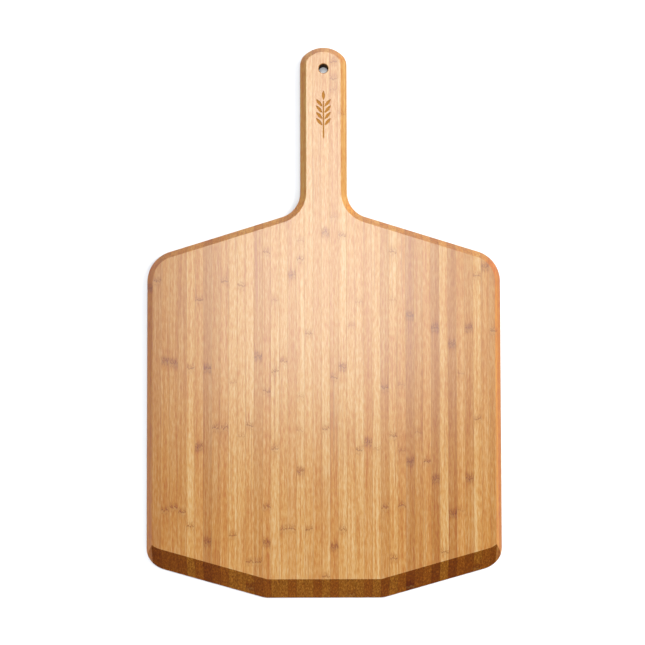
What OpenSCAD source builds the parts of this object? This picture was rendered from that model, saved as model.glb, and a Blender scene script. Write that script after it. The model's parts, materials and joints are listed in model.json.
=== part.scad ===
// Bamboo pizza peel: a flat board glued up edge to edge from full-thickness bamboo strips.
// Millimetres. +Y runs from the front edge to the handle end, +Z is up, and the origin is
// the middle of the underside, so the peel lies on the plane z = 0.

/* [Board] */
// Length from the front edge to the handle end
overall_l = 531; // [480:1:620]
// Thickness of the board
board_t = 12; // [10:0.5:16]
// Width of one bamboo strip
strip_w = 8.06; // [7.8:0.01:8.3]
// Distance of the glue line beside the centre line from that centre line
strip_offset = -2.4; // [-4:0.1:0]
// Width and depth of the 45 degree chamfer round the upper edge
chamfer = 6; // [2:0.5:7]
// Width and depth of the small easing round the lower edge
easing = 0.8; // [0.4:0.1:1.2]

/* [Blade] */
// Width of the blade
blade_w = 340; // [338:0.5:346]
// Width of the straight middle of the front edge
front_w = 113.5; // [80:0.5:160]
// Sweep of the front edge on each side of the straight middle, in degrees
front_angle = 15.7; // [8:0.1:22]
// Rounding where the front edge changes direction
front_bend_r = 20; // [5:1:30]
// Rounding of the two front corners
front_corner_r = 22; // [10:1:30]
// Slope of the shoulders, in degrees
shoulder_angle = 17.2; // [10:0.1:25]
// Rounding of the two shoulder corners
shoulder_r = 30; // [15:1:40]

/* [Front bevel] */
// Width of the bevel, seen from above
bevel_w = 20; // [12:0.5:30]
// Thickness left at the front edge
lip_t = 2; // [1.5:0.1:4]
// Rounding of the bevel's upper line beside the sides of the blade
bevel_corner_r = 18; // [12:1:24]

/* [Handle] */
// Width of the handle
handle_w = 45; // [40:0.5:50]
// Length of the handle, from its end to the corner that the neck rounds off
handle_l = 159.5; // [120:0.5:180]
// Rounding of the neck, between handle and shoulder
neck_r = 25; // [15:1:35]
// Radius of the crown of the handle end
crown_r = 26; // [24:0.5:32]
// Radius of the two corners of the handle end
end_corner_r = 13.5; // [8:0.5:18]

/* [Hanging hole] */
// Diameter of the hole
hole_d = 9; // [6:0.5:12]
// Distance from the handle end to the middle of the hole
hole_inset = 22; // [18:0.5:30]
// Width of the small countersink at both ends of the hole
hole_ease = 0.6; // [0.2:0.1:1]

/* [Engraved wheat ear] */
// Depth of the engraving
engrave_d = 0.4; // [0.2:0.1:1]
// Distance from the handle end to the tip of the ear
ear_inset = 43.5; // [40:0.5:60]
// Length of the ear with its stalk
ear_l = 46; // [40:0.5:50]
// Length of one grain
grain_l = 9.5; // [7:0.5:11]
// Width of one grain
grain_w = 3; // [2:0.1:4]
// Number of pairs of grains
grain_pairs = 4; // [3:1:5]
// Lean of the grains away from the stalk, in degrees
grain_lean = 40; // [20:1:45]
// Width of the stalk
stalk_w = 1.4; // [1:0.1:2]

/* [Hidden] */
$fn = 96;
// How far a cutting shape stands clear of what it cuts
clear = 1;
// How far the chamfers of the necks and the crown run past their tangent points, in degrees
overrun = 2;
// How much wider a round cut is than its rounding, so that it crosses the cuts beside it at
// a slight angle and doesn't just touch them
round_play = 0.003;

end_y = overall_l / 2;
front_y = -overall_l / 2;
neck_y = end_y - handle_l;
shoulder_y = neck_y - (blade_w - handle_w) / 2 * tan(shoulder_angle);
front_corner_y = front_y + (blade_w - front_w) / 2 * tan(front_angle);

// The handle end is a crown arc that runs into two tighter corner arcs. join_angle is where
// they meet, measured at the crown's centre from the handle's centre line.
join_angle = asin((handle_w / 2 - end_corner_r) / (crown_r - end_corner_r));
crown_tip_y = end_y - crown_r + crown_r / cos(join_angle);
end_corner_y = crown_tip_y - handle_w / 2 * tan(join_angle);

// The right half of the outline from the front edge to the handle end: the corner before
// rounding, and its radius.
RIGHT = [
    [front_w / 2, front_y, front_bend_r],
    [blade_w / 2, front_corner_y, front_corner_r],
    [blade_w / 2, shoulder_y, shoulder_r],
    [handle_w / 2, neck_y, neck_r],
    [handle_w / 2, end_corner_y, end_corner_r],
];
LEFT = [for (i = [len(RIGHT) - 1:-1:0]) [-RIGHT[i].x, RIGHT[i].y, RIGHT[i].z]];
// The whole outline, anticlockwise seen from above
OUTLINE = concat(RIGHT, [[0, crown_tip_y, crown_r]], LEFT);
CORNERS = len(OUTLINE);

function corner(i) = OUTLINE[(i + CORNERS) % CORNERS];
function place(i) = [corner(i).x, corner(i).y];
// Direction of the edge that leaves corner i, in degrees
function heading(i) = let (run = place(i + 1) - place(i)) atan2(run.y, run.x);
// Turn at corner i, from -180 to 180 degrees: positive at an outer corner, negative at the neck
function turn(i) = let (a = heading(i) - heading(i - 1)) a - 360 * round(a / 360);
// Distance from corner i to where its rounding starts
function tangent_l(i) = corner(i).z * tan(abs(turn(i)) / 2);
function along(a, l) = [l * cos(a), l * sin(a)];
function arc_start(i) = place(i) - along(heading(i - 1), tangent_l(i));
function arc_end(i) = place(i) + along(heading(i), tangent_l(i));
function side(i) = turn(i) > 0 ? 1 : -1;
function arc_centre(i) = arc_start(i) + along(heading(i - 1) + side(i) * 90, corner(i).z);

// The strips, counted from the left. The first and last are cut narrower by the blade's sides.
first_seam = strip_offset - floor((blade_w / 2 + strip_offset) / strip_w) * strip_w;
STRIPS = ceil((blade_w / 2 - first_seam) / strip_w) + 1;
function strip_left(n) = n == 1 ? -blade_w / 2 : first_seam + (n - 2) * strip_w;
function strip_right(n) = n == STRIPS ? blade_w / 2 : first_seam + (n - 1) * strip_w;
function in_handle(n) = strip_right(n) > -handle_w / 2 && strip_left(n) < handle_w / 2;
function two_digits(n) = n < 10 ? str("0", n) : str(n);
function strip_name(n) =
    n == 1 ? "left_edge_strip" :
    n == STRIPS ? "right_edge_strip" :
    str(in_handle(n) ? "handle_strip_" : "blade_strip_", two_digits(n));

// Oiled bamboo. The strips come from different canes, so their tones differ.
PALE_STRIPS = [6, 11, 12, 13, 16, 17, 19, 20, 22, 24, 25, 26, 28, 30, 36, 40];
WARM_STRIPS = [3, 4, 5, 9, 14, 29, 33, 39, 42];
TOASTED_STRIPS = [1, 2, 8, 32, 35, 37, 43];
function is_in(n, list) = len([for (k = list) if (k == n) k]) > 0;
function tone(n) =
    is_in(n, PALE_STRIPS) ? [0.92, 0.78, 0.62] :
    is_in(n, WARM_STRIPS) ? [0.85, 0.66, 0.46] :
    is_in(n, TOASTED_STRIPS) ? [0.80, 0.58, 0.37] :
    [0.88, 0.71, 0.52];

// The outline, flat, with its round stretches as arcs
module outline_2d() {
    difference() {
        union() {
            polygon([for (i = [0:CORNERS - 1]) each [arc_start(i), arc_end(i)]]);
            for (i = [0:CORNERS - 1]) if (turn(i) > 0) arc_sector_2d(i);
        }
        for (i = [0:CORNERS - 1]) if (turn(i) < 0) arc_sector_2d(i);
    }
}

// The slice of corner i's circle between its two tangent points
module arc_sector_2d(i) {
    reach = 1.1 / cos(turn(i) / 2);
    c = arc_centre(i);
    intersection() {
        translate(c) circle(r = corner(i).z);
        polygon([c, c + reach * (arc_start(i) - c), c + reach * (arc_end(i) - c)]);
    }
}

// What the chamfer and the easing cut away, in a section whose x runs into the board
// from its wall and whose y is the height
module edge_section_2d() {
    polygon([
        [-clear, board_t + clear],
        [chamfer + clear, board_t + clear],
        [-clear, board_t - chamfer - clear]
    ]);
    polygon([[-clear, -clear], [easing + clear, -clear], [-clear, easing + clear]]);
}

// The same for the front bevel
module bevel_section_2d() {
    slope = (board_t - lip_t) / bevel_w;
    polygon([
        [-clear, lip_t - clear * slope],
        [bevel_w + clear, board_t + clear * slope],
        [-clear, board_t + clear * slope]
    ]);
}

// Sweeps a section along a straight line from a point, with the board on the line's left
module sweep_straight(from, angle, l) {
    translate([from.x, from.y, 0])
        rotate([0, 0, angle + 90])
            rotate([90, 0, 0])
                linear_extrude(l) children();
}

// Sweeps a section round a centre. The board is inside the radius where inward is 1 and
// outside it where inward is -1.
module sweep_round(centre, r, from, angle, inward) {
    translate([centre.x, centre.y, 0])
        rotate([0, 0, from])
            rotate_extrude(angle = angle)
                translate([r, 0]) mirror([inward > 0 ? 1 : 0, 0]) children();
}

// Chamfer and easing along the straight edge that leaves corner i. Beside an outer corner
// the cut runs on past the tangent point, and beside the neck it stops there.
module edge_cut(i) {
    before = turn(i) > 0 ? clear : 0;
    after = turn(i + 1) > 0 ? clear : 0;
    start = arc_end(i);
    l = norm(arc_start(i + 1) - start);
    if (l > clear)
        sweep_straight(start - along(heading(i), before), heading(i), l + before + after)
            edge_section_2d();
}

// Chamfer and easing round corner i. The crown's cut runs on over the two end corners.
module corner_cut(i) {
    is_crown = i == len(RIGHT);
    extra = turn(i) < 0 || is_crown ? overrun : 0;
    from = turn(i) > 0 ? heading(i - 1) - 90 : heading(i) + 90;
    r = corner(i).z + (is_crown ? 0 : round_play);
    sweep_round(arc_centre(i), r, from - extra, abs(turn(i)) + 2 * extra, side(i))
        edge_section_2d();
}

// The front bevel: one flat along each of the three front edges, and a cone that turns its
// upper line up into each side of the blade
module front_bevel() {
    reach = blade_w;
    sweep_straight([-reach / 2, front_y], 0, reach) bevel_section_2d();
    for (flip = [0, 1]) mirror([flip, 0, 0]) {
        start = place(0) - along(front_angle, reach / 2);
        sweep_straight(start, front_angle, reach) bevel_section_2d();
        bevel_corner();
    }
}

module bevel_corner() {
    outer_r = bevel_corner_r + bevel_w;
    x = blade_w / 2 - bevel_corner_r;
    y = front_y + (x - front_w / 2) * tan(front_angle) + outer_r / cos(front_angle);
    sweep_round([x, y], outer_r, front_angle - 90, 90 - front_angle, 1) bevel_section_2d();
}

// The hole that the peel hangs by, with its two small countersinks
module hanging_hole() {
    translate([0, end_y - hole_inset, 0]) {
        translate([0, 0, -clear]) cylinder(d = hole_d, h = board_t + 2 * clear);
        for (flip = [0, 1]) translate([0, 0, flip * board_t]) mirror([0, 0, flip])
            translate([0, 0, -clear])
                cylinder(r1 = hole_d / 2 + hole_ease + clear, r2 = hole_d / 2, h = hole_ease + clear);
    }
}

// One grain of the ear, pointing along +Y from its foot at the origin: the overlap of two circles
module grain_2d() {
    r = (grain_l * grain_l + grain_w * grain_w) / (4 * grain_w);
    intersection() {
        translate([r - grain_w / 2, grain_l / 2]) circle(r = r);
        translate([grain_w / 2 - r, grain_l / 2]) circle(r = r);
    }
}

// The wheat ear: a stalk, pairs of leaning grains and one grain at the tip
module wheat_ear_2d() {
    tip_y = end_y - ear_inset;
    pair_pitch = (ear_l - grain_l) / (grain_pairs + 2);
    translate([-stalk_w / 2, tip_y - ear_l]) square([stalk_w, ear_l - grain_l - 0.8]);
    translate([0, tip_y - grain_l]) grain_2d();
    for (k = [1:grain_pairs], s = [-1, 1])
        translate([s * (stalk_w / 2 + 0.3), tip_y - grain_l - k * pair_pitch])
            rotate([0, 0, -s * grain_lean]) grain_2d();
}

module engraving() {
    translate([0, 0, board_t - engrave_d]) linear_extrude(engrave_d + clear) wheat_ear_2d();
}

// Everything that is cut from the board between two x positions. Each cut is left out where
// it doesn't reach.
module cuts(x0, x1) {
    for (i = [0:CORNERS - 1]) {
        a = arc_start(i).x;
        b = arc_end(i).x;
        c = arc_start(i + 1).x;
        pad = chamfer + 2 * clear;
        if (min(a, b) - pad < x1 && max(a, b) + pad > x0 && abs(turn(i)) > 1) corner_cut(i);
        if (min(b, c) - pad < x1 && max(b, c) + pad > x0) edge_cut(i);
    }
    front_bevel();
    if (abs(x0 + x1) / 2 < hole_d + strip_w) hanging_hole();
    if (abs(x0 + x1) / 2 < grain_l + strip_w) engraving();
}

// One strip, cut to the outline and shaped like the board round it
module strip(n) {
    x0 = strip_left(n);
    x1 = strip_right(n);
    color(tone(n))
        difference() {
            linear_extrude(board_t)
                intersection() {
                    outline_2d();
                    translate([x0, front_y - clear]) square([x1 - x0, overall_l + 2 * clear]);
                }
            cuts(x0, x1);
        }
}

for (n = [1:STRIPS])
    strip(n);
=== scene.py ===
import json
import math

import bpy
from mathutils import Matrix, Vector


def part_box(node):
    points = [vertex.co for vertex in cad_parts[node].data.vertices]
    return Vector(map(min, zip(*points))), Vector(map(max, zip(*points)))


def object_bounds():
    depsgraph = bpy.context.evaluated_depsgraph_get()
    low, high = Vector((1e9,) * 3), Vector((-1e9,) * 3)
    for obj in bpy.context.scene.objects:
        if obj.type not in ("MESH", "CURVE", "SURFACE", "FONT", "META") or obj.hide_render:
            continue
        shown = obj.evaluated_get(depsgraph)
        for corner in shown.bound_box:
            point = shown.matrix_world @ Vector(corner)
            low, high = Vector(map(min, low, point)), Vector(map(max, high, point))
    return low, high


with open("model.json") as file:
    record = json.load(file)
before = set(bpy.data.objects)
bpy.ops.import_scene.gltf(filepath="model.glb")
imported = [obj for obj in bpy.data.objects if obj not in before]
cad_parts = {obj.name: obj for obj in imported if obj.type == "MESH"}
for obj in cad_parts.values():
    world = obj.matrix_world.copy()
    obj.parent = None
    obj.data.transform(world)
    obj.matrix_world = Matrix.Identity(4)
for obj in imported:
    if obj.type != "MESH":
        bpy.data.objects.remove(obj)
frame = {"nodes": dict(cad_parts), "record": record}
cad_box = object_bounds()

# The row frame: +Y towards the handle end, +Z up, origin under the middle of the board.
MM = 0.001
HALF_WIDTH = cad_box[1].x
TOP = cad_box[1].z
HOLE = next(m for m in frame["record"]["mounts"] if m["name"] == "hanging_hole")
HOLE_Y = HOLE["pos_m"][1]
HOLE_REACH = (HOLE["dims"]["r_mm"] + 0.7) * MM     # the bore and its two small countersinks
CHAMFER = 6.0 * MM
FRONT_HALF_Y = -0.10                               # the bevel lies in front of this
NECK_Y = (0.08, 0.14)                              # from the shoulders to the neck
EAR_Y = (0.170, 0.226)                             # where the engraved wheat ear lies
EAR_HALF_WIDTH = 10.0 * MM

# The tone of the wood in each of the four slots.
PALE = (0.287, 0.146, 0.034)
HONEY = (0.263, 0.118, 0.020)
WARM = (0.240, 0.102, 0.014)
TOASTED = (0.214, 0.084, 0.009)
TONES = {"bamboo_pale": PALE, "bamboo_honey": HONEY, "bamboo_warm": WARM, "bamboo_toasted": TOASTED}

# Where the canes' knuckles lie: strip number, distance from the board's middle towards the
# handle in mm, and how they look. "ring" is a thin dark line with a pale scar below it, "dark"
# a brown blotch, and "faint" a soft ring.
KNUCKLES = [
    (1, 32, "dark"), (2, 39, "ring"), (3, -38, "dark"), (4, -40, "dark"), (6, -45, "ring"),
    (7, 20, "ring"), (8, -45, "dark"), (10, 38, "ring"), (11, -59, "faint"), (12, 34, "ring"),
    (14, -34, "dark"), (15, 66, "ring"), (15, -67, "ring"), (16, 20, "faint"), (16, -48, "ring"),
    (17, 95, "faint"), (17, -39, "ring"), (18, 44, "dark"), (19, 59, "ring"), (19, -72, "faint"),
    (20, -12, "ring"), (22, 85, "dark"), (23, 100, "faint"), (23, -54, "ring"), (24, 82, "ring"),
    (24, -44, "dark"), (25, -5, "faint"), (26, 18, "faint"), (29, -64, "ring"), (30, 66, "ring"),
    (30, 20, "faint"), (31, -61, "faint"), (32, 5, "dark"), (35, -7, "dark"), (37, -23, "dark"),
    (38, -50, "faint"), (39, -7, "dark"), (40, 43, "ring"), (41, 52, "dark"), (42, -10, "ring"),
    # the middle of the blade
    (7, -120, "dark"), (9, -102, "ring"), (10, -102, "ring"), (12, -110, "faint"), (13, -100, "ring"),
    (16, -121, "ring"), (19, -105, "faint"), (19, -143, "dark"), (22, -103, "ring"), (26, -123, "ring"),
    (27, -116, "dark"), (28, -122, "faint"), (30, -110, "ring"), (31, -124, "faint"), (32, -135, "dark"),
    (33, -107, "faint"), (34, -134, "ring"), (35, -151, "dark"), (39, -150, "dark"), (40, -94, "ring"),
    # towards the front edge
    (3, -180, "ring"), (4, -177, "ring"), (5, -182, "ring"), (6, -195, "ring"), (8, -210, "dark"),
    (11, -204, "ring"), (13, -229, "ring"), (14, -229, "ring"), (15, -177, "ring"), (15, -211, "dark"),
    (17, -198, "ring"), (18, -198, "ring"), (20, -198, "ring"), (22, -243, "ring"), (23, -215, "dark"),
    (24, -199, "ring"), (29, -178, "ring"), (30, -226, "ring"), (31, -176, "ring"), (36, -220, "ring"),
    (37, -184, "dark"), (38, -181, "faint"), (13, -254, "dark"), (25, -261, "faint"), (32, -253, "dark"),
    (40, -236, "dark"),
    # the handle
    (19, 77, "faint"), (23, 250, "ring"), (23, 233, "ring"), (23, 223, "faint"), (24, 200, "faint"),
]


# ---- node helpers --------------------------------------------------------------------------
class Tree:
    """A few short calls for building a node tree."""

    def __init__(self, tree):
        self.t = tree

    def node(self, kind, **props):
        n = self.t.nodes.new(kind)
        for k, v in props.items():
            setattr(n, k, v)
        return n

    def put(self, socket, value):
        if isinstance(value, bpy.types.NodeSocket):
            self.t.links.new(value, socket)
        else:
            socket.default_value = value

    def math(self, op, a, b=0.0, c=None, clamp=False):
        n = self.node("ShaderNodeMath", operation=op, use_clamp=clamp)
        self.put(n.inputs[0], a)
        self.put(n.inputs[1], b)
        if c is not None:
            self.put(n.inputs[2], c)
        return n.outputs[0]

    def product(self, *factors):
        out = factors[0]
        for f in factors[1:]:
            out = self.math("MULTIPLY", out, f)
        return out

    def total(self, *terms):
        out = terms[0]
        for v in terms[1:]:
            out = self.math("ADD", out, v)
        return out

    def step(self, value, lo, hi):
        """0 below lo, 1 above hi, smooth between them; lo may be larger than hi."""
        n = self.node("ShaderNodeMapRange", interpolation_type="SMOOTHSTEP")
        self.put(n.inputs["Value"], value)
        flip = lo > hi
        n.inputs["From Min"].default_value = hi if flip else lo
        n.inputs["From Max"].default_value = lo if flip else hi
        n.inputs["To Min"].default_value = 1.0 if flip else 0.0
        n.inputs["To Max"].default_value = 0.0 if flip else 1.0
        return n.outputs["Result"]

    def line(self, value, lo, hi, a, b):
        """Straight-line map of lo..hi to a..b, held at the ends."""
        n = self.node("ShaderNodeMapRange")
        self.put(n.inputs["Value"], value)
        for key, v in (("From Min", lo), ("From Max", hi), ("To Min", a), ("To Max", b)):
            n.inputs[key].default_value = v
        return n.outputs["Result"]

    def mix(self, factor, a, b, blend="MIX"):
        n = self.node("ShaderNodeMix", data_type="RGBA", blend_type=blend)
        self.put(n.inputs[0], factor)
        self.put(n.inputs[6], a if isinstance(a, bpy.types.NodeSocket) else (*a, 1.0))
        self.put(n.inputs[7], b if isinstance(b, bpy.types.NodeSocket) else (*b, 1.0))
        return n.outputs[2]

    def tint(self, factor, col, by):
        """The colour multiplied by another one, as far as factor says."""
        return self.mix(factor, col, self.mix(1.0, col, by, "MULTIPLY"))

    def vector(self, x, y, z):
        n = self.node("ShaderNodeCombineXYZ")
        for s, v in zip(n.inputs, (x, y, z)):
            self.put(s, v)
        return n.outputs[0]

    def split(self, v):
        n = self.node("ShaderNodeSeparateXYZ")
        self.put(n.inputs[0], v)
        return n.outputs

    def noise(self, vec, scale=1.0, detail=2.0, rough=0.5):
        n = self.node("ShaderNodeTexNoise")
        self.put(n.inputs["Vector"], vec)
        n.inputs["Scale"].default_value = scale
        n.inputs["Detail"].default_value = detail
        n.inputs["Roughness"].default_value = rough
        return n.outputs["Fac"]

    def cells(self, vec, scale=1.0):
        n = self.node("ShaderNodeTexVoronoi")
        self.put(n.inputs["Vector"], vec)
        n.inputs["Scale"].default_value = scale
        return n.outputs["Distance"]


def group(name, ins, outs):
    g = bpy.data.node_groups.new(name, "ShaderNodeTree")
    for n, kind in ins:
        g.interface.new_socket(n, in_out="INPUT", socket_type=kind)
    for n, kind in outs:
        g.interface.new_socket(n, in_out="OUTPUT", socket_type=kind)
    t = Tree(g)
    return g, t, t.node("NodeGroupInput").outputs, t.node("NodeGroupOutput").inputs


F, C = "NodeSocketFloat", "NodeSocketColor"


def wood_colour(t, tone, amount):
    """Paler fibres where amount is above 0, more orange ones where it is below. The paler fibres are
    real grain, and their whitish, bluish tint is painted sheen.
    """
    # painted sheen: the whitish, bluish tint of the paler fibres, on top of real paler grain
    pale = t.mix(1.0, t.mix(1.0, tone, (1.13, 1.38, 2.1), "MULTIPLY"), (0.006, 0.012, 0.022), "ADD")
    orange = t.mix(1.0, tone, (0.82, 0.58, 0.25), "MULTIPLY")
    col = t.mix(t.line(amount, 0.0, 1.1, 0.0, 1.0), tone, pale)
    return t.mix(t.line(amount, 0.0, -1.1, 0.0, 1.0), col, orange)


def bevel_colour(t, tone, col, x, y, seed):
    """The front bevel is darker than the upper face, and the canes differ more there."""
    deeper = t.mix(1.0, tone, (3.45, 6.6, 22.0), "MULTIPLY")
    out = t.mix(1.0, t.mix(0.55, col, tone), t.mix(0.65, (1.0, 1.0, 1.0), deeper), "MULTIPLY")
    out = t.mix(1.0, out, (0.385, 0.250, 0.05), "MULTIPLY")
    at = t.vector(t.product(x, 1000.0), t.product(y, 600.0), seed)
    return t.tint(t.step(t.noise(at, 0.75, 3.0, 0.7), 0.42, 0.68), out, (1.65, 1.85, 4.0))


def make_wood():
    """The wood of one strip. Its fibres run along Y all through it, so the upper face shows
    streaks and the cuts across it show the ends of the fibre bundles."""
    g, t, i, o = group(
        "bamboo_wood",
        [("Tone", C), ("Seed", F), ("Left", F), ("Right", F)],
        [("Color", C), ("Height", F), ("Across", F), ("Y", F), ("Roughness", F), ("Specular", F)],
    )
    x, y, z = t.split(t.node("ShaderNodeTexCoord").outputs["Object"])
    nx, ny, nz = t.split(t.node("ShaderNodeNewGeometry").outputs["Normal"])
    ax = t.math("ABSOLUTE", x)
    seed = t.product(i["Seed"], 3.71)

    # the fibres drift sideways a little along the strip
    drift = t.noise(t.vector(seed, t.product(y, 9.0), 0.0))
    xs = t.total(x, t.product(t.math("SUBTRACT", drift, 0.5), 2.4 * MM))

    def fibres(across, along, offset, detail=3.0, rough=0.6):
        """Noise drawn out along the strip; across and along are its cells per metre."""
        at = t.vector(t.total(t.product(xs, across), t.total(seed, offset)),
                      t.product(y, along), t.product(z, across))
        return t.noise(at, 1.0, detail, rough)

    broad = fibres(170.0, 4.0, 1.3, 2.0, 0.5)
    streak = fibres(520.0, 7.0, 5.1)
    fine = fibres(1300.0, 12.0, 9.7)
    # short dashes, where the cut skims the fibre bundles
    dash = fibres(1100.0, 150.0, 14.9, 2.0)
    col = wood_colour(t, i["Tone"], t.total(
        t.line(streak, 0.28, 0.72, -0.68, 0.68),
        t.line(fine, 0.3, 0.7, -0.45, 0.45),
        t.line(broad, 0.3, 0.7, -0.40, 0.40),
        t.line(dash, 0.3, 0.7, -0.85, 0.85),
    ))
    # slow change of tone along the strip
    patch = t.noise(t.vector(seed, t.product(y, 14.0), 0.0))
    col = t.tint(t.step(patch, 0.50, 0.72), col, (0.93, 0.86, 0.76))
    # a few thin brown fibres
    thin = t.step(fibres(760.0, 5.0, 21.0, 1.0, 0.5), 0.66, 0.74)
    col = t.mix(t.product(thin, 0.55), col, (0.17, 0.075, 0.017))
    # glue lines
    waver = t.noise(t.vector(seed, t.product(y, 30.0), 0.0))
    from_left = t.math("SUBTRACT", x, i["Left"])
    from_right = t.math("SUBTRACT", i["Right"], x)
    glue = t.math("LESS_THAN", t.math("MINIMUM", from_left, from_right),
                  t.line(waver, 0.3, 0.7, 0.10 * MM, 0.30 * MM))
    col = t.mix(t.product(glue, 0.42), col, (0.15, 0.062, 0.014))

    # cut ends of the fibres, and among them the front bevel
    cross = t.step(t.math("ABSOLUTE", ny), 0.10, 0.42)
    front = t.product(t.step(t.product(ny, -1.0), 0.10, 0.30), t.math("LESS_THAN", y, FRONT_HALF_Y))
    # near the two sides the bevel fades into the rounded-over corner
    inner = HALF_WIDTH - CHAMFER
    front = t.product(front, t.line(ax, inner, inner + 1.0 * MM, 1.0, 0.45))
    bundles = t.cells(t.vector(t.product(x, 1000.0), t.product(y, 260.0), t.product(z, 260.0)), 1.1)
    dots = t.step(bundles, 0.40, 0.14)
    ends = t.mix(1.0, col, (1.0, 0.84, 0.50), "MULTIPLY")
    ends = t.mix(front, ends, bevel_colour(t, i["Tone"], col, x, y, seed))
    ends = t.tint(t.product(dots, 0.85), ends, (0.50, 0.38, 0.30))
    ends = t.tint(t.product(glue, 0.35), ends, (0.45, 0.35, 0.30))
    col = t.mix(cross, col, ends)

    # painted light: the long side chamfers are painted brighter and more orange, most of all along the
    # blade
    side = t.step(t.math("ABSOLUTE", nx), 0.35, 0.65)
    painted_chamfer_light = t.mix(t.step(y, *NECK_Y), (1.38, 1.08, 0.22), (1.08, 0.98, 0.60))
    col = t.tint(t.product(side, 0.85), col, painted_chamfer_light)
    # the burnt engraving in the handle
    burn = t.product(
        t.math("LESS_THAN", z, TOP - 0.03 * MM), t.math("GREATER_THAN", z, TOP - 1.0 * MM),
        t.math("LESS_THAN", ax, EAR_HALF_WIDTH),
        t.math("GREATER_THAN", y, EAR_Y[0]), t.math("LESS_THAN", y, EAR_Y[1]),
    )
    char = t.mix(t.noise(t.vector(x, y, z), 900.0, 3.0), (0.215, 0.088, 0.014), (0.270, 0.120, 0.024))
    col = t.mix(burn, col, char)
    # painted shade: the inside of the hanging hole is painted almost black, standing in for the shade in
    # the hole
    hy = t.math("SUBTRACT", y, HOLE_Y)
    reach = t.math("SQRT", t.total(t.product(x, x), t.product(hy, hy)))
    hole_wall_shade = t.product(t.math("LESS_THAN", reach, HOLE_REACH), t.step(t.math("ABSOLUTE", nz), 0.9, 0.4))
    col = t.mix(t.product(hole_wall_shade, 0.9), col, (0.020, 0.010, 0.004))

    sunk = t.total(t.product(glue, 0.5), t.product(dots, cross, 0.6))
    t.put(o["Color"], col)
    t.put(o["Height"], t.math("SUBTRACT", t.total(t.product(streak, 0.5), t.product(fine, 0.5)), sunk))
    t.put(o["Across"], t.math("DIVIDE", from_left, t.math("SUBTRACT", i["Right"], i["Left"])))
    t.put(o["Y"], y)
    # a soft sheen along the fibres, dull on the bevel, in the burnt mark and in the hole
    dull = t.math("MAXIMUM", t.math("MAXIMUM", front, burn), hole_wall_shade)
    t.put(o["Roughness"], t.total(t.line(fine, 0.3, 0.7, 0.28, 0.36), t.product(dull, 0.35)))
    t.put(o["Specular"], t.line(dull, 0.0, 1.0, 0.55, 0.06))
    return g


def make_knuckle():
    """One knuckle of the cane: a dark ring across the strip, a pale scar towards the front of
    it, brown flecks around it, and darker fibres running out of it both ways."""
    g, t, i, o = group(
        "bamboo_knuckle",
        [("Color", C), ("Height", F), ("Across", F), ("Y", F),
         ("At", F), ("Ring", F), ("Blotch", F), ("Seed", F)],
        [("Color", C), ("Height", F)],
    )
    seed = t.product(i["Seed"], 5.3)
    # both in mm: across the board, and from the knuckle towards the handle
    x = t.math("DIVIDE", t.split(t.node("ShaderNodeTexCoord").outputs["Object"])[0], MM)
    d = t.math("DIVIDE", t.math("SUBTRACT", i["Y"], i["At"]), MM)
    wobble = t.noise(t.vector(t.total(t.product(x, 0.45), seed), seed, 0.0))
    d = t.total(d, t.line(wobble, 0.3, 0.7, -1.4, 1.4))
    away = t.math("ABSOLUTE", d)
    spot = t.noise(t.vector(t.total(t.product(x, 1.5), seed), t.product(d, 0.42), 0.0))
    grain = t.noise(t.vector(t.total(t.product(x, 1.1), seed), t.product(d, 0.07), 4.0))
    inside = t.product(t.step(i["Across"], 0.0, 0.10), t.step(i["Across"], 1.0, 0.90))
    both = t.math("ADD", t.product(i["Blotch"], 0.72), t.product(i["Ring"], 0.62), clamp=True)

    tail = t.product(t.step(away, 20.0, 3.0), t.step(grain, 0.48, 0.62), both)
    cloud = t.product(t.step(away, 8.0, 1.5), t.line(grain, 0.40, 0.60, 0.35, 1.0), i["Blotch"])
    fleck = t.product(t.step(away, 6.0, 1.5), t.step(spot, 0.46, 0.54), inside, both)
    behind = t.math("ABSOLUTE", t.total(d, 1.9))
    scar = t.product(t.step(behind, 1.7, 0.6), t.step(spot, 0.40, 0.60), inside, i["Ring"])
    ring = t.product(t.step(away, 0.85, 0.25), t.step(spot, 0.36, 0.50), inside, i["Ring"])

    col = t.tint(t.product(tail, 0.7), i["Color"], (0.86, 0.72, 0.45))
    col = t.tint(t.product(cloud, 0.9), col, (0.80, 0.65, 0.25))
    col = t.tint(fleck, col, (0.62, 0.42, 0.08))
    col = t.mix(t.product(scar, 0.30), col, (0.36, 0.22, 0.07))
    col = t.tint(t.product(ring, 0.85), col, (0.60, 0.40, 0.08))
    t.put(o["Color"], col)
    sunk = t.math("SUBTRACT", i["Height"], t.product(ring, 0.5))
    t.put(o["Height"], t.total(sunk, t.product(scar, 0.25)))
    return g


WOOD = make_wood()
KNUCKLE = make_knuckle()
# how much ring and how much blotch each kind of knuckle shows
LOOKS = {"ring": (1.0, 0.15), "dark": (0.55, 1.0), "faint": (0.5, 0.1)}


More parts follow.
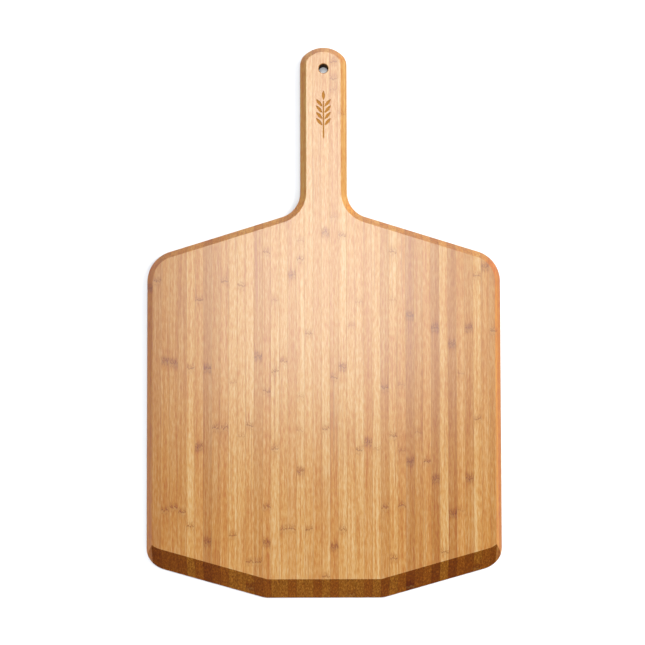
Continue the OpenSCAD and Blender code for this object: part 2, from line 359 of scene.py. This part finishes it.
def strip_material(name, number, tone, left, right):
    m = bpy.data.materials.new(name)
    m.use_nodes = True
    t = Tree(m.node_tree)
    m.node_tree.nodes.clear()
    wood = t.node("ShaderNodeGroup", node_tree=WOOD)
    wood.inputs["Tone"].default_value = (*tone, 1.0)
    wood.inputs["Seed"].default_value = float(number)
    wood.inputs["Left"].default_value = left
    wood.inputs["Right"].default_value = right
    col, height = wood.outputs["Color"], wood.outputs["Height"]
    for k, (strip, at, look) in enumerate(KNUCKLES):
        if strip != number:
            continue
        ring, blotch = LOOKS[look]
        kn = t.node("ShaderNodeGroup", node_tree=KNUCKLE)
        t.put(kn.inputs["Color"], col)
        t.put(kn.inputs["Height"], height)
        for key in ("Across", "Y"):
            t.put(kn.inputs[key], wood.outputs[key])
        kn.inputs["At"].default_value = at * MM
        kn.inputs["Ring"].default_value = ring
        kn.inputs["Blotch"].default_value = blotch
        kn.inputs["Seed"].default_value = float(k)
        col, height = kn.outputs["Color"], kn.outputs["Height"]
    bump = t.node("ShaderNodeBump")
    bump.inputs["Strength"].default_value = 0.35
    bump.inputs["Distance"].default_value = 0.12 * MM
    t.put(bump.inputs["Height"], height)
    shader = t.node("ShaderNodeBsdfPrincipled")
    t.put(shader.inputs["Base Color"], col)
    t.put(shader.inputs["Roughness"], wood.outputs["Roughness"])
    t.put(shader.inputs["Specular IOR Level"], wood.outputs["Specular"])
    t.put(shader.inputs["Normal"], bump.outputs[0])
    out = t.node("ShaderNodeOutputMaterial")
    t.put(out.inputs["Surface"], shader.outputs[0])
    return m


# each strip is one CAD node; counting from the left gives its number
slots = {s["node"]: s["material_slot"] for s in frame["record"]["subparts"]}
for order, (node, obj) in enumerate(sorted(frame["nodes"].items(), key=lambda p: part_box(p[0])[0].x)):
    lo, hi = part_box(node)
    mat = strip_material(node + "_wood", order + 1, TONES[slots[node]], lo.x, hi.x)
    obj.data.materials.clear()
    obj.data.materials.append(mat)


# ---- floor, light and camera ---------------------------------------------------------------
def floor_material():
    m = bpy.data.materials.new("studio_floor")
    m.use_nodes = True
    t = Tree(m.node_tree)
    shader = m.node_tree.nodes["Principled BSDF"]
    tc = t.node("ShaderNodeTexCoord")
    grey = t.mix(t.noise(tc.outputs["Object"], 3.0), (0.570, 0.580, 0.600), (0.585, 0.595, 0.610))
    t.put(shader.inputs["Base Color"], grey)
    shader.inputs["Roughness"].default_value = 0.9
    shader.inputs["Specular IOR Level"].default_value = 0.0
    return m


bpy.ops.mesh.primitive_plane_add(size=8.0, location=(0, 0, -0.0002))
floor = bpy.context.object
floor.name = "floor"
floor.data.materials.append(floor_material())


def area(name, at, aim, size, power, colour):
    data = bpy.data.lights.new(name, "AREA")
    data.shape = "RECTANGLE"
    data.size, data.size_y = size
    data.energy = power
    data.color = colour
    o = bpy.data.objects.new(name, data)
    bpy.context.scene.collection.objects.link(o)
    o.location = at
    o.visible_camera = False
    o.rotation_euler = (Vector(aim) - Vector(at)).to_track_quat("-Z", "Y").to_euler()
    return o


# a big softbox over the handle, whose sheen lies on the upper half of the board
area("key", (0.01, 0.34, 1.35), (0.01, 0.33, 0), (0.60, 1.0), 22.0, (1.0, 1.0, 1.0))
# the main side light, which throws the thin shadow on the left
area("side", (1.20, 0.62, 0.9), (0, 0, 0), (0.9, 0.9), 37.0, (1.0, 0.99, 0.97))
# weak fills for the bevel, the left chamfer and the chamfer at the handle end
area("front", (-0.1, -0.80, 0.60), (0, -0.15, 0), (0.8, 0.4), 7.5, (1.0, 0.99, 0.98))
area("left", (-1.2, 0.4, 0.8), (0, 0, 0), (0.6, 0.6), 2.0, (1.0, 0.99, 0.97))
area("back", (0.25, 1.6, 0.28), (0, 0.2, 0), (1.0, 0.4), 9.0, (1.0, 1.0, 1.0))

world = bpy.data.worlds.new("studio")
world.use_nodes = True
sky = world.node_tree.nodes["Background"].inputs
sky["Color"].default_value = (0.82, 0.91, 1.0, 1.0)
sky["Strength"].default_value = 0.20
bpy.context.scene.world = world
view = bpy.context.scene.view_settings
view.view_transform = "Standard"
view.look = "None"
view.exposure = 0.0
view.gamma = 1.0

# The camera looks down from above the blade, tipped about a degree and a half.
cam_data = bpy.data.cameras.new("camera")
cam_data.lens = 53.0
cam_data.sensor_width = 36.0
cam_data.clip_start = 0.01
cam = bpy.data.objects.new("camera", cam_data)
bpy.context.scene.collection.objects.link(cam)
cam.location = (-0.0031, -0.0258, 0.9204)
cam.rotation_euler = (math.radians(1.53), math.radians(-0.11), math.radians(-0.115))
bpy.context.scene.camera = cam
